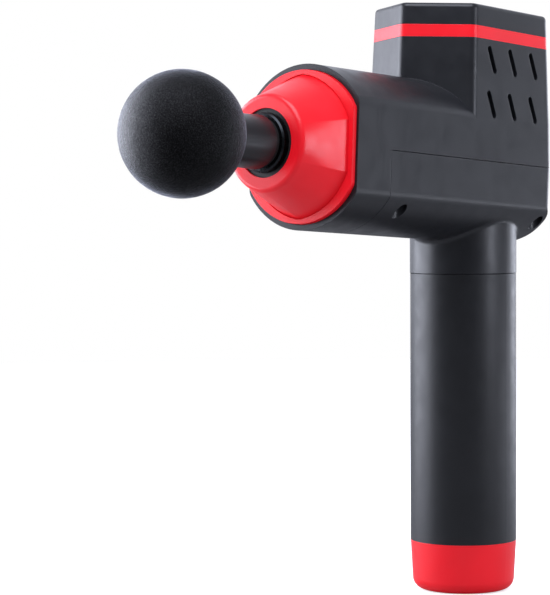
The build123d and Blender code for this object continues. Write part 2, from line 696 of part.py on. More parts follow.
# ------------------------------------------------------------------ rod guide and yoke rails
BUSHING_R = 10.0
BUSHING_BACK = -66.0
with BuildPart() as rod_carrier:
    with BuildSketch(across(CARRIER_BACK)):
        add(barrel_section(BARREL_R - WALL - 0.2, HALF_WIDTH - WALL - 0.3))
        with Locations(CARRIER_SCREWS):
            Circle(SCREW_R + 0.1, mode=Mode.SUBTRACT)
    extrude(amount=CARRIER_BACK - CARRIER_FRONT)
    with BuildSketch(across(BUSHING_BACK)):
        Circle(BUSHING_R + 3.5)
    extrude(amount=BUSHING_BACK - CARRIER_FRONT)
    with Locations(across(BUSHING_BACK)):
        Cylinder(BUSHING_R, 40, align=FROM_BOTTOM, mode=Mode.SUBTRACT)

with BuildPart() as rod_bushing:
    add(ring(across(BUSHING_BACK), BUSHING_R, ROD_R + FIT, BUSHING_BACK - CARRIER_FRONT))

carrier_seats = [across(CARRIER_FRONT, z, x) for x, z in CARRIER_SCREWS]
carrier_screws = group(
    "carrier_screws", [socket_screw(seat, HEAD_R, HEAD_LENGTH, CARRIER_SHANK) for seat in carrier_seats]
)

RAIL_LIP, RAIL_INNER, RAIL_OUTER = 15.0, YOKE_HALF_WIDTH + FIT, 26.6
RAIL_BACK, RAIL_LENGTH, RAIL_HEIGHT = 14.0, 46.0, 16.0
with BuildPart() as rail_set:
    for x in (-1, 1):
        with BuildSketch(across(RAIL_BACK)):
            with Locations((x * (RAIL_LIP + RAIL_OUTER) / 2, 0)):
                Rectangle(RAIL_OUTER - RAIL_LIP, RAIL_HEIGHT)
            with Locations((x * RAIL_LIP, 0)):
                Rectangle(2 * (RAIL_INNER - RAIL_LIP), 2 * (YOKE_HALF_THICK + FIT), mode=Mode.SUBTRACT)
        extrude(amount=RAIL_LENGTH)
guide_rails = group("guide_rails", rail_set.solids())

# ------------------------------------------------------------------ attachment
PLUG_R = 8.0
PLUG_BACK = -111.3
RING_Y = (-117.0, -136.0)
CORE_FRONT = -172.0  # the disc buried in the ball
SHOULDER_R, TAPER_LENGTH = 11.3, 18.0
RING_HALF = 0.9  # half the thickness of a stem ring

with BuildPart() as ball_stem:
    with Locations(across(PLUG_BACK)):
        Cylinder(PLUG_R, PLUG_BACK - SHOULDER_FRONT, align=FROM_BOTTOM)
    chamfer(ball_stem.edges().filter_by(GeomType.CIRCLE).group_by(Axis((0, 0, 0), HEAD.y_dir))[-1], 1)
    for y in RING_Y:
        add(ring(across(y + 1), PLUG_R + 1, 6.2, 2), mode=Mode.SUBTRACT)
    with Locations(across(SHOULDER_FRONT)):
        Cone(SHOULDER_R, STEM_R, TAPER_LENGTH, align=FROM_BOTTOM)
    with Locations(across(SHOULDER_FRONT - TAPER_LENGTH)):
        Cylinder(STEM_R, SHOULDER_FRONT - TAPER_LENGTH - CORE_FRONT, align=FROM_BOTTOM)
    with Locations(across(CORE_FRONT)):
        Cylinder(15, 3, align=FROM_BOTTOM)
        Cylinder(8, 12, align=FROM_BOTTOM)

with BuildPart() as ring_set:
    for y in RING_Y:
        with Locations(across(y)):
            Torus(PLUG_R - RING_HALF, RING_HALF)
stem_rings = group("stem_rings", ring_set.solids())

with BuildPart() as ball_head:
    with Locations(across(BALL_Y)):
        Sphere(BALL_R)
    add(ball_stem.part, mode=Mode.SUBTRACT)

# ------------------------------------------------------------------ handle
SLEEVE_BORE_R = 21.9
NECK_BORE_R = 20.3
NECK_BOSS_R = 3.3
SLEEVE_END = SLEEVE_TOP - GAP
SLEEVE_BORE_LENGTH = 118.0
NECK_BOSS_BOTTOM, NECK_PILOT_BOTTOM = 143.0, 145.0
with BuildPart() as handle_sleeve:
    with BuildSketch(Plane.XY.offset(CAP_TOP)):
        Circle(HANDLE_R)
    extrude(amount=SLEEVE_END - CAP_TOP)
    with BuildSketch(Plane.XY.offset(SLEEVE_END)):
        Circle(COLLAR_BORE_R - FIT)
    extrude(amount=WEB_BOTTOM - SLEEVE_END)
    with Locations((0, 0, CAP_TOP)):
        Cylinder(SLEEVE_BORE_R, SLEEVE_BORE_LENGTH, align=FROM_BOTTOM, mode=Mode.SUBTRACT)
        Cylinder(NECK_BORE_R, WEB_TOP - CAP_TOP, align=FROM_BOTTOM, mode=Mode.SUBTRACT)
    with BuildSketch(Plane.XY.offset(NECK_BOSS_BOTTOM)):
        for angle in NECK_SCREW_ANGLES:
            with Locations(Rotation(0, 0, angle)):
                with Locations((NECK_SCREW_RING, 0)):
                    Circle(NECK_BOSS_R)
                with Locations((NECK_SCREW_RING + 2.2, 0)):
                    Rectangle(4, 4)
    extrude(amount=WEB_BOTTOM - NECK_BOSS_BOTTOM)
    with BuildSketch(Plane.XY.offset(NECK_PILOT_BOTTOM)):
        with PolarLocations(NECK_SCREW_RING, 3, start_angle=NECK_SCREW_ANGLES[0]):
            Circle(SCREW_R)
    extrude(amount=20, mode=Mode.SUBTRACT)

neck_seats = [
    Plane(origin=(NECK_SCREW_RING * cos(radians(angle)), NECK_SCREW_RING * sin(radians(angle)), WEB_TOP))
    for angle in NECK_SCREW_ANGLES
]
neck_screws = group(
    "neck_screws", [socket_screw(seat, HEAD_R, HEAD_LENGTH, NECK_SHANK) for seat in neck_seats]
)

# ------------------------------------------------------------------ end cap
CAP_FLOOR = 2.6
CAP_BORE_R = 20.2
JACK_Y, SWITCH_Y = -9.0, 8.0
JACK_R = 4.2
POWER_R = 6.0
CAP_DRAFT = 1.3  # the cap narrows by this much towards the foot
CAP_HEEL_R = 5.5
PLUG_LENGTH = 7.4  # the cap plugs into the sleeve
with BuildPart() as end_cap:
    Cone(HANDLE_R - CAP_DRAFT, HANDLE_R, CAP_TOP, align=FROM_BOTTOM)
    fillet(end_cap.edges().group_by(Axis.Z)[0], CAP_HEEL_R)
    with BuildSketch(Plane.XY.offset(CAP_TOP)):
        Circle(SLEEVE_BORE_R - 0.05)
    extrude(amount=PLUG_LENGTH)
    with Locations((0, 0, CAP_FLOOR)):
        Cylinder(CAP_BORE_R - 2.5, 40, align=FROM_BOTTOM, mode=Mode.SUBTRACT)
    with Locations((0, 0, CAP_FLOOR + 3)):
        Cylinder(CAP_BORE_R, 40, align=FROM_BOTTOM, mode=Mode.SUBTRACT)
    with Locations((0, JACK_Y, 0)):
        Cylinder(JACK_R, 20, align=FROM_BOTTOM, mode=Mode.SUBTRACT)
    with Locations((0, SWITCH_Y, 0)):
        Cylinder(POWER_R, 20, align=FROM_BOTTOM, mode=Mode.SUBTRACT)

BOARD_Z = 14.0
with BuildPart() as charge_socket:
    with Locations((0, JACK_Y, 0.8)):
        Cylinder(JACK_R, BOARD_Z - 0.8, align=FROM_BOTTOM)
        Cylinder(2.75, 9.7, align=FROM_BOTTOM, mode=Mode.SUBTRACT)

with BuildPart() as charge_contact:
    with Locations((0, JACK_Y, 3)):
        Cylinder(0.95, 7.5, align=FROM_BOTTOM)
    fillet(charge_contact.edges().group_by(Axis.Z)[0], 0.5)

PRESS = 1.5  # travel of the power button
SWITCH_BOTTOM = 6.4
STUD = 1.8  # of the power button, above its flange
with BuildPart() as power_button:
    with Locations((0, SWITCH_Y, 0.6)):
        Cylinder(POWER_R - FIT, CAP_FLOOR, align=FROM_BOTTOM)
    fillet(power_button.edges().group_by(Axis.Z)[0], 0.5)
    with Locations((0, SWITCH_Y, CAP_FLOOR)):
        Cylinder(POWER_R + 0.9, 1.2, align=FROM_BOTTOM)
        Cylinder(1.9, STUD, align=FROM_BOTTOM)

with BuildPart() as power_switch:
    with Locations((0, SWITCH_Y, CAP_FLOOR + STUD + PRESS + FIT)):
        Cylinder(1.5, 1, align=FROM_BOTTOM)
    with BuildSketch(Plane.XY.offset(SWITCH_BOTTOM)):
        with Locations((0, SWITCH_Y)):
            RectangleRounded(10, 10, 0.8)
    extrude(amount=BOARD_Z - SWITCH_BOTTOM)

# ------------------------------------------------------------------ battery pack
TAB = 0.3
UPPER_CELL_BOTTOM = CELL_BOTTOM + CELL_LENGTH + 2 * TAB
CELL_TOP = UPPER_CELL_BOTTOM + CELL_LENGTH
HOLDER_CLEAR = 0.05
with BuildPart() as battery_board:
    with BuildSketch(Plane.XY.offset(BOARD_Z)):
        Circle(CAP_BORE_R - 0.4)
    extrude(amount=1.6)
    with BuildSketch(Plane.XY.offset(BOARD_Z + 1.6)):
        with Locations((9, 0), (-9, 0)):
            Rectangle(5, 6)
    extrude(amount=1.2)

with BuildPart() as cell_set:
    for bottom in (CELL_BOTTOM, UPPER_CELL_BOTTOM):
        with Locations((0, 0, bottom)):
            with PolarLocations(CELL_RING_R, 3):
                Cylinder(CELL_R, CELL_LENGTH, align=FROM_BOTTOM)
    fillet(cell_set.edges().filter_by(GeomType.CIRCLE), 0.6)
battery_cells = group("battery_cells", cell_set.solids())

with BuildPart() as tab_set:
    for bottom, thick in ((CELL_BOTTOM - TAB, TAB), (CELL_BOTTOM + CELL_LENGTH, 2 * TAB), (CELL_TOP, TAB)):
        with Locations((0, 0, bottom)):
            with PolarLocations(CELL_RING_R, 3):
                Cylinder(6, thick, align=FROM_BOTTOM)
cell_tabs = group("cell_tabs", tab_set.solids())


def cell_holder(bottom, top, radius, pocket_bottom, pocket_top):
    """Round plate with three pockets for the cells."""
    with BuildPart() as holder:
        with BuildSketch(Plane.XY.offset(bottom)):
            Circle(radius)
        extrude(amount=top - bottom)
        with BuildSketch(Plane.XY.offset(pocket_bottom)):
            with PolarLocations(CELL_RING_R, 3):
                Circle(CELL_R + HOLDER_CLEAR)
        extrude(amount=pocket_top - pocket_bottom, mode=Mode.SUBTRACT)
        with BuildSketch(Plane.XY.offset(142)):
            with PolarLocations(NECK_SCREW_RING, 3, start_angle=NECK_SCREW_ANGLES[0]):
                Circle(NECK_BOSS_R + 0.9)
        extrude(amount=20, mode=Mode.SUBTRACT)
    return holder.part


low_holder = cell_holder(17.2, 24.5, CAP_BORE_R - 0.1, CELL_BOTTOM - TAB, 30)
mid_holder = cell_holder(81.0, 88.6, SLEEVE_BORE_R - 0.1, 80, 90)
high_holder = cell_holder(145.5, CELL_TOP + TAB + 2, NECK_BORE_R - 0.1, 140, CELL_TOP + TAB)
cell_holders = group("cell_holders", [low_holder, mid_holder, high_holder])

# ------------------------------------------------------------------ controls
SPEED_PRESS = 0.8
BUTTON_AT = (0, BUTTON_RISE)
BOARD_THICK = 1.6
PROUD = 0.8  # the button stands this far out of the panel
FLANGE = 0.8  # thickness of the button's flange, behind the panel
STUD_LENGTH = 0.75

with BuildPart() as control_panel:
    with BuildSketch(panel_face):
        RectangleRounded(PANEL_WIDTH, PANEL_HEIGHT, PANEL_CORNER_R)
        with Locations(BUTTON_AT):
            Circle(BUTTON_R, mode=Mode.SUBTRACT)
        for x in LIGHT_X:
            with Locations((x, LIGHT_DROP)):
                Circle(LIGHT_R, mode=Mode.SUBTRACT)
    extrude(amount=-PANEL_DEPTH)

with BuildPart() as light_set:
    with BuildSketch(panel_face):
        for x in LIGHT_X:
            with Locations((x, LIGHT_DROP)):
                Circle(LIGHT_R)
    extrude(amount=-WALL)
level_lights = group("level_lights", light_set.solids())

with BuildPart() as speed_button:
    with BuildSketch(panel_face.offset(PROUD)):
        with Locations(BUTTON_AT):
            Circle(BUTTON_R - FIT)
    extrude(amount=-(PROUD + PANEL_DEPTH))
    fillet(speed_button.edges().group_by(Axis((0, 0, 0), panel_face.z_dir))[-1], 0.4)
    with BuildSketch(panel_face.offset(-PANEL_DEPTH)):
        with Locations(BUTTON_AT):
            Circle(BUTTON_R + 0.9)
    extrude(amount=-FLANGE)
    with BuildSketch(panel_face.offset(-PANEL_DEPTH - FLANGE)):
        with Locations(BUTTON_AT):
            Circle(1.5)
    extrude(amount=-STUD_LENGTH)

PLUNGER_DEPTH = PANEL_DEPTH + FLANGE + STUD_LENGTH + SPEED_PRESS + FIT
with BuildPart() as button_switch:
    with BuildSketch(panel_face.offset(-PLUNGER_DEPTH)):
        with Locations(BUTTON_AT):
            Circle(1.7)
    extrude(amount=-1)
    with BuildSketch(panel_face.offset(-PLUNGER_DEPTH - 0.6)):
        with Locations(BUTTON_AT):
            Rectangle(6, 6)
    extrude(amount=-(BOARD_DEPTH - PLUNGER_DEPTH - 0.6))

with BuildPart() as control_board:
    with BuildSketch(panel_face.offset(-BOARD_DEPTH)):
        RectangleRounded(PANEL_WIDTH, PANEL_HEIGHT, 1.5)
        with Locations(POSTS):
            Circle(1.1, mode=Mode.SUBTRACT)
    extrude(amount=-BOARD_THICK)
    with BuildSketch(panel_face.offset(-BOARD_DEPTH)):
        with Locations((-8, 4)):
            Rectangle(5, 5)
        with Locations((8, -2)):
            Rectangle(4, 6)
    extrude(amount=1)

with BuildPart() as board_screw_set:
    with BuildSketch(panel_face.offset(-BOARD_DEPTH - BOARD_THICK)):
        with Locations(POSTS):
            Circle(1.9)
    extrude(amount=-1.2)
    with BuildSketch(panel_face.offset(-BOARD_DEPTH - BOARD_THICK)):
        with Locations(POSTS):
            Circle(1.0)
    extrude(amount=BOARD_THICK + 3.6)
board_screws = group("board_screws", board_screw_set.solids())


# ------------------------------------------------------------------ wiring
def wire(points, radius):
    """Round wire through points of the head frame."""
    path_points = [HEAD.from_local_coords(point) for point in points]
    with BuildPart() as lead:
        with BuildLine() as path:
            Spline(*path_points)
        with BuildSketch(Plane(origin=path.line @ 0, z_dir=path.line % 0)):
            Circle(radius)
        sweep()
    return lead.part


WIRE_R, LEAD_R = 0.8, 0.9
board_edge = panel_face.from_local_coords((0, -PANEL_HEIGHT / 2, -BOARD_DEPTH - BOARD_THICK / 2))
board_foot = HEAD.to_local_coords(board_edge)
END_Y, END_Z = board_foot.Y, board_foot.Z - 0.7  # just under the lower edge of the control board


def motor_lead(x):
    """One phase wire from the motor base to the control board."""
    start_y = MOTOR_Y + sqrt(BASE_R**2 - x**2) + WIRE_R + 0.15
    return wire(((x, start_y, 20.0), (x, 15.5, 21.5), (x, END_Y, END_Z)), WIRE_R)


def battery_lead(x):
    """From the opening in the web, up behind the motor plate, to the control board."""
    high_x = x - 7
    return wire(
        ((x, 12.5, -39.5), (x, 14.5, -32), (high_x, 20.2, -15), (high_x, 20.2, 10), (high_x, END_Y, END_Z)),
        LEAD_R,
    )


motor_leads = group("motor_leads", [motor_lead(x) for x in (6.5, 9.5, 12.5)])
battery_leads = group("battery_leads", [battery_lead(x) for x in (-2.0, 2.0)])

# ------------------------------------------------------------------ names and files
builders = {
    "upper_shell": upper_shell,
    "lower_cover": lower_cover,
    "accent_band": accent_band,
    "top_cap": top_cap,
    "nose_cone": nose_cone,
    "nose_seal": nose_seal,
    "motor_plate": motor_plate,
    "motor_base": motor_base,
    "stator_core": stator_core,
    "rotor_can": rotor_can,
    "motor_shaft": motor_shaft,
    "crank_wheel": crank_wheel,
    "crank_pin": crank_pin,
    "slide_block": slide_block,
    "yoke": yoke,
    "piston_rod": piston_rod,
    "attachment_socket": attachment_socket,
    "socket_bumper": socket_bumper,
    "rod_carrier": rod_carrier,
    "rod_bushing": rod_bushing,
    "ball_head": ball_head,
    "ball_stem": ball_stem,
    "handle_sleeve": handle_sleeve,
    "end_cap": end_cap,
    "charge_socket": charge_socket,
    "charge_contact": charge_contact,
    "power_button": power_button,
    "power_switch": power_switch,
    "battery_board": battery_board,
    "control_panel": control_panel,
    "speed_button": speed_button,
    "button_switch": button_switch,
    "control_board": control_board,
}
for name, builder in builders.items():
    builder.part.label = name
    export_step(builder.part, f"parts/{name}.step")

groups = (
    shell_screws,
    motor_screws,
    plate_screws,
    motor_bearings,
    stator_windings,
    rotor_magnets,
    carrier_screws,
    guide_rails,
    stem_rings,
    neck_screws,
    battery_cells,
    cell_tabs,
    cell_holders,
    level_lights,
    board_screws,
    motor_leads,
    battery_leads,
)
for cluster in groups:
    export_step(cluster, f"parts/{cluster.label}.step")
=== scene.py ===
import bpy
import json
import math
from mathutils import Matrix, Vector, noise


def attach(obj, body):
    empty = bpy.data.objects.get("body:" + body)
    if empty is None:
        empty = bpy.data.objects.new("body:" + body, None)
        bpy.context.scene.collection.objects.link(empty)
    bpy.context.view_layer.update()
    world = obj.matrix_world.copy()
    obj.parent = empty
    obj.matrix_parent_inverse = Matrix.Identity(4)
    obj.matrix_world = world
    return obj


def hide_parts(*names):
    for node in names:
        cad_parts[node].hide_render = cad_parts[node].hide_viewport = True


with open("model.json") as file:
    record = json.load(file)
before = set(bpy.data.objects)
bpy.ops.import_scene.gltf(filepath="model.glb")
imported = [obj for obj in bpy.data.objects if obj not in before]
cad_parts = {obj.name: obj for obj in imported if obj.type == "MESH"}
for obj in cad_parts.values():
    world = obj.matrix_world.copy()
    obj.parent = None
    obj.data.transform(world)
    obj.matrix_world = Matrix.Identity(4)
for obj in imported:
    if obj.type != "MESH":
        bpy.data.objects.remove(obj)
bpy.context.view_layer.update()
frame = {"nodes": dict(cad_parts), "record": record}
nodes = frame["nodes"]
slots = {s["node"]: s["material_slot"] for s in frame["record"]["subparts"]}

TILT = math.radians(3.25)  # the head's forward rise from level
STROKE_HEIGHT = 0.193  # where the stroke axis crosses the handle's axis
SIDE = Vector((1, 0, 0))
BACKWARD = Vector((0, math.cos(TILT), -math.sin(TILT)))
UPWARD = Vector((0, math.sin(TILT), math.cos(TILT)))


def head_point(x, y, z):
    """A point given in millimetres in the head's frame."""
    return Vector((0, 0, STROKE_HEIGHT)) + (SIDE * x + BACKWARD * y + UPWARD * z) / 1000


# ------------------------------------------------------------------ materials
# sockets of a Mix node in colour mode
MIX_FACTOR, MIX_FIRST, MIX_SECOND, MIX_COLOR = 0, 6, 7, 2


def new_material(name):
    """A new node material, with its tree, its shader and the object's own coordinates in metres."""
    mat = bpy.data.materials.new(name)
    mat.use_nodes = True
    tree = mat.node_tree
    shader = tree.nodes["Principled BSDF"]
    coords = tree.nodes.new("ShaderNodeTexCoord").outputs["Object"]
    return mat, tree, shader, coords


def noise_at(tree, coords, scale, detail=3.0, roughness=0.55):
    """Noise with about scale bumps in a metre."""
    tex = tree.nodes.new("ShaderNodeTexNoise")
    tex.inputs["Scale"].default_value = scale
    tex.inputs["Detail"].default_value = detail
    tex.inputs["Roughness"].default_value = roughness
    tree.links.new(coords, tex.inputs["Vector"])
    return tex.outputs["Fac"]


def ramp(tree, value, low, high, start=0.35, end=0.65):
    """Maps value to a colour or a number between low and high."""
    node = tree.nodes.new("ShaderNodeMapRange")
    node.inputs["From Min"].default_value = start
    node.inputs["From Max"].default_value = end
    tree.links.new(value, node.inputs["Value"])
    if isinstance(low, (int, float)):
        node.inputs["To Min"].default_value = low
        node.inputs["To Max"].default_value = high
        return node.outputs["Result"]
    mix = tree.nodes.new("ShaderNodeMix")
    mix.data_type = "RGBA"
    mix.inputs[MIX_FIRST].default_value = (*low, 1)
    mix.inputs[MIX_SECOND].default_value = (*high, 1)
    tree.links.new(node.outputs["Result"], mix.inputs[MIX_FACTOR])
    return mix.outputs[MIX_COLOR]


def bump(tree, value, depth, normal=None):
    """A normal for a surface that value raises by up to depth metres."""
    node = tree.nodes.new("ShaderNodeBump")
    node.inputs["Distance"].default_value = depth
    tree.links.new(value, node.inputs["Height"])
    if normal:
        tree.links.new(normal, node.inputs["Normal"])
    return node.outputs["Normal"]


def soft_edges(tree, radius):
    """A normal that rounds sharp edges off."""
    node = tree.nodes.new("ShaderNodeBevel")
    node.samples = 4
    node.inputs["Radius"].default_value = radius
    return node.outputs["Normal"]


MOTTLE, MOTTLE_SCALE = 0.12, 45  # how far a moulding's colour strays, and over what patches
SHINE_SPREAD, SHINE_SCALE = 0.04, 130


def moulded(name, color, rough, grain=2600, depth=0.00002, edge=0.0003):
    """Moulded plastic or coated metal: fine grain, faint mottling and softened edges."""
    mat, tree, shader, coords = new_material(name)
    low = [c * (1 - MOTTLE) for c in color]
    high = [min(c * (1 + MOTTLE), 1) for c in color]
    patches = noise_at(tree, coords, MOTTLE_SCALE)
    tree.links.new(ramp(tree, patches, low, high), shader.inputs["Base Color"])
    fine = noise_at(tree, coords, grain, 2)
    shine = noise_at(tree, coords, SHINE_SCALE)
    smooth, dull = rough - SHINE_SPREAD, rough + SHINE_SPREAD
    tree.links.new(ramp(tree, shine, smooth, dull), shader.inputs["Roughness"])
    normal = soft_edges(tree, edge) if edge else None
    tree.links.new(bump(tree, fine, depth, normal), shader.inputs["Normal"])
    return mat


def machined(name, color, rough, scale=900, stretch=(1, 1, 0.04), edge=0.0002):
    """Bare metal with fine tool marks that run one way."""
    mat, tree, shader, coords = new_material(name)
    place = tree.nodes.new("ShaderNodeMapping")
    place.inputs["Scale"].default_value = stretch
    tree.links.new(coords, place.inputs["Vector"])
    marks = noise_at(tree, place.outputs["Vector"], scale, 4)
    low = [c * 0.8 for c in color]
    tree.links.new(ramp(tree, marks, low, color), shader.inputs["Base Color"])
    tree.links.new(ramp(tree, marks, rough - 0.06, rough + 0.1), shader.inputs["Roughness"])
    shader.inputs["Metallic"].default_value = 1
    tree.links.new(bump(tree, marks, 0.00001, soft_edges(tree, edge)), shader.inputs["Normal"])
    return mat


WAVE_STEP = 0.314  # a wave texture of scale 1 repeats about every 0.314 m


def banded(name, color, rough, pitch, metallic):
    """Laminations or wound wire: fine bands stacked along the height."""
    mat, tree, shader, coords = new_material(name)
    wave = tree.nodes.new("ShaderNodeTexWave")
    wave.bands_direction = "Z"
    wave.inputs["Scale"].default_value = WAVE_STEP / pitch
    wave.inputs["Distortion"].default_value = 0.6
    tree.links.new(coords, wave.inputs["Vector"])
    bands = wave.outputs["Fac"]
    low = [c * 0.45 for c in color]
    tree.links.new(ramp(tree, bands, low, color, 0.1, 0.9), shader.inputs["Base Color"])
    shader.inputs["Metallic"].default_value = metallic
    shader.inputs["Roughness"].default_value = rough
    tree.links.new(bump(tree, bands, pitch * 0.3), shader.inputs["Normal"])
    return mat


def foam_skin():
    """Dense black foam: fine glinting grains, tiny pores and a soft rim sheen."""
    mat, tree, shader, coords = new_material("foam")
    grains = noise_at(tree, coords, 2100, 3, 0.7)
    pale = ramp(tree, grains, (0.0007, 0.0007, 0.0008), (0.0026, 0.0026, 0.0031), 0.42, 0.68)
    tree.links.new(pale, shader.inputs["Base Color"])
    tree.links.new(ramp(tree, grains, 0.1, 0.4, 0.45, 0.7), shader.inputs["Specular IOR Level"])
    shader.inputs["Roughness"].default_value = 0.6
    shader.inputs["Sheen Weight"].default_value = 0.7
    shader.inputs["Sheen Roughness"].default_value = 0.22
    shader.inputs["Sheen Tint"].default_value = (0.75, 0.78, 0.9, 1)
    tree.links.new(bump(tree, grains, 0.0002), shader.inputs["Normal"])
    return mat


def red_plastic_painted_glow():
    """Glossy red mouldings, with a painted glow: red emission that only the camera sees, making them
    look more brightly lit.
    """
    mat = moulded("red_trim", RED, 0.34, depth=0.00001)
    tree = mat.node_tree
    shader = tree.nodes["Principled BSDF"]
    # painted glow: the red parts emit red light for camera rays only, brighter than the lamps light
    # them
    shader.inputs["Emission Color"].default_value = (*RED, 1)
    seen = tree.nodes.new("ShaderNodeLightPath").outputs["Is Camera Ray"]
    tree.links.new(ramp(tree, seen, 0.0, RED_PAINTED_GLOW, 0, 1), shader.inputs["Emission Strength"])
    return mat


def frosted():
    """Milky lens over a small light."""
    mat, tree, shader, coords = new_material("light_lens")
    cloud = noise_at(tree, coords, 900)
    tree.links.new(ramp(tree, cloud, (0.6, 0.63, 0.66), (0.85, 0.88, 0.9)), shader.inputs["Base Color"])
    shader.inputs["Roughness"].default_value = 0.45
    shader.inputs["Transmission Weight"].default_value = 0.25
    return mat


CHARCOAL = (0.013, 0.0135, 0.016)
RED = (0.94, 0.008, 0.018)
# strength of the painted glow on the red parts
RED_PAINTED_GLOW = 0.22
finishes = {
    "charcoal_casing": moulded("charcoal_casing", CHARCOAL, 0.37),
    "red_trim": red_plastic_painted_glow(),
    "handle_coating": moulded("handle_coating", (0.010, 0.0102, 0.012), 0.42, depth=0.00001),
    "foam": foam_skin(),
    "stem_plastic": moulded("stem_plastic", (0.009, 0.009, 0.0105), 0.33, depth=0.000008),
    "black_rubber": moulded("black_rubber", (0.012, 0.012, 0.012), 0.6, grain=4000),
    "inner_plastic": moulded("inner_plastic", (0.05, 0.05, 0.055), 0.5),
    "black_screw": machined("black_screw", (0.05, 0.05, 0.052), 0.35),
    "steel": machined("steel", (0.56, 0.56, 0.58), 0.28),
    "alloy": machined("alloy", (0.60, 0.61, 0.63), 0.4, stretch=(1, 0.05, 1)),
    "bronze": machined("bronze", (0.55, 0.36, 0.16), 0.45),
    "copper": banded("copper", (0.72, 0.27, 0.12), 0.3, 0.0005, 1.0),
    "iron": banded("iron", (0.22, 0.22, 0.24), 0.4, 0.0004, 1.0),
    "magnet": machined("magnet", (0.5, 0.5, 0.52), 0.22),
    "socket_metal": machined("socket_metal", (0.03, 0.033, 0.036), 0.3, stretch=(1, 0.04, 1)),
    "cell_wrap": moulded("cell_wrap", (0.02, 0.20, 0.12), 0.3),
    "board": moulded("board", (0.01, 0.09, 0.03), 0.35, grain=600),
    "panel_gloss": moulded("panel_gloss", (0.01, 0.01, 0.011), 0.14, depth=0.000004),
    "light_lens": frosted(),
    "wire_skin": moulded("wire_skin", (0.45, 0.02, 0.02), 0.4, edge=0),
}

for name, obj in nodes.items():
    obj.data.materials.clear()
    obj.data.materials.append(finishes[slots[name]])


# ------------------------------------------------------------------ foam ball
def mesh_piece(name, verts, faces, mat, body):
    """A smooth mesh that rides on a body and takes its finish from a material slot."""
    mesh = bpy.data.meshes.new(name)
    mesh.from_pydata(verts, [], faces)
    mesh.materials.append(mat)
    mesh.shade_smooth()
    obj = bpy.data.objects.new(name, mesh)
    bpy.context.scene.collection.objects.link(obj)
    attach(obj, body)
    return obj


def lathe(profile, segments):
    """Turns an open profile of (radius, distance towards the nose) about the stroke axis."""
    verts, faces = [], []
    for radius, along in profile:
        for k in range(segments):
            turn = 2 * math.pi * k / segments
            verts.append(head_point(radius * math.cos(turn), -along, radius * math.sin(turn)))
    for row in range(len(profile) - 1):
        for k in range(segments):
            after = (k + 1) % segments
            a, b = row * segments + k, row * segments + after
            faces.append((a, b, b + segments, a + segments))
    return verts, faces


# millimetres: the ball, its centre along the stroke axis, and the stem that goes into it
BALL_R, BALL_ALONG, STEM_R = 25.6, 187.9, 10.85
HOLE_LIP = 0.35  # the foam's mouth stands this far off the stem
HOLE_DEPTH = 5.0
POLE_GAP = 0.004  # radians left open at the front pole
GRAIN_SCALE, GRAIN_RISE = 1400, 0.00005  # bumps in a metre, and their height in metres
LUMP_SCALE, LUMP_RISE = 160, 0.00006
RINGS, SEGMENTS = ((240, 400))
PLAIN_ROWS = 3  # the rows in the hole and at its mouth stay smooth

hole_angle = math.asin((STEM_R + HOLE_LIP) / BALL_R)
mouth = BALL_ALONG - BALL_R * math.cos(hole_angle)
ball_profile = [(STEM_R + 0.1, mouth + HOLE_DEPTH), (STEM_R + 0.12, mouth + 0.6)]
for i in range(RINGS + 1):
    angle = hole_angle + (math.pi - POLE_GAP - hole_angle) * i / RINGS
    ball_profile.append((BALL_R * math.sin(angle), BALL_ALONG - BALL_R * math.cos(angle)))
verts, faces = lathe(ball_profile, SEGMENTS)
centre = head_point(0, -BALL_ALONG, 0)
for i in range(PLAIN_ROWS * SEGMENTS, len(verts)):
    v = verts[i]
    rise = noise.noise(v * GRAIN_SCALE) * GRAIN_RISE + noise.noise(v * LUMP_SCALE) * LUMP_RISE
    verts[i] = v + (v - centre).normalized() * rise
ball = mesh_piece("foam_ball", verts, faces, finishes["foam"], "attachment")
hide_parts("ball_head")

# ------------------------------------------------------------------ stage, light and camera
FLOOR_R = 1.6
FLOOR_GLOW = 0.62  # for the camera, which sees the floor as white as its surroundings
FLOOR_GREY = (0.3, 0.3, 0.3, 1)  # for other rays, so the floor throws little light on the object


def floor_finish():
    """Pale floor with faint mottling, clear from below so that the foot can be looked at."""
    mat, tree, shader, coords = new_material("floor")
    seen = tree.nodes.new("ShaderNodeLightPath").outputs["Is Camera Ray"]
    pale = ramp(tree, noise_at(tree, coords, 6), (0.88, 0.88, 0.885), (0.92, 0.92, 0.925))
    tint = tree.nodes.new("ShaderNodeMix")
    tint.data_type = "RGBA"
    tint.inputs[MIX_FIRST].default_value = FLOOR_GREY
    tree.links.new(seen, tint.inputs[MIX_FACTOR])
    tree.links.new(pale, tint.inputs[MIX_SECOND])
    tree.links.new(tint.outputs[MIX_COLOR], shader.inputs["Base Color"])
    tree.links.new(ramp(tree, seen, 0.0, FLOOR_GLOW, 0, 1), shader.inputs["Emission Strength"])
    shader.inputs["Emission Color"].default_value = (1, 1, 1, 1)
    shader.inputs["Roughness"].default_value = 0.8
    shader.inputs["Specular IOR Level"].default_value = 0.1
    below = tree.nodes.new("ShaderNodeNewGeometry").outputs["Backfacing"]
    clear = tree.nodes.new("ShaderNodeBsdfTransparent").outputs["BSDF"]
    either = tree.nodes.new("ShaderNodeMixShader")
    tree.links.new(below, either.inputs[0])
    tree.links.new(shader.outputs["BSDF"], either.inputs[1])
    tree.links.new(clear, either.inputs[2])
    tree.links.new(either.outputs["Shader"], tree.nodes["Material Output"].inputs["Surface"])
    return mat


bpy.ops.mesh.primitive_circle_add(vertices=96, radius=FLOOR_R, fill_type="NGON", location=(0, 0, 0))
floor = bpy.context.object
floor.name = "floor"
floor.data.materials.append(floor_finish())

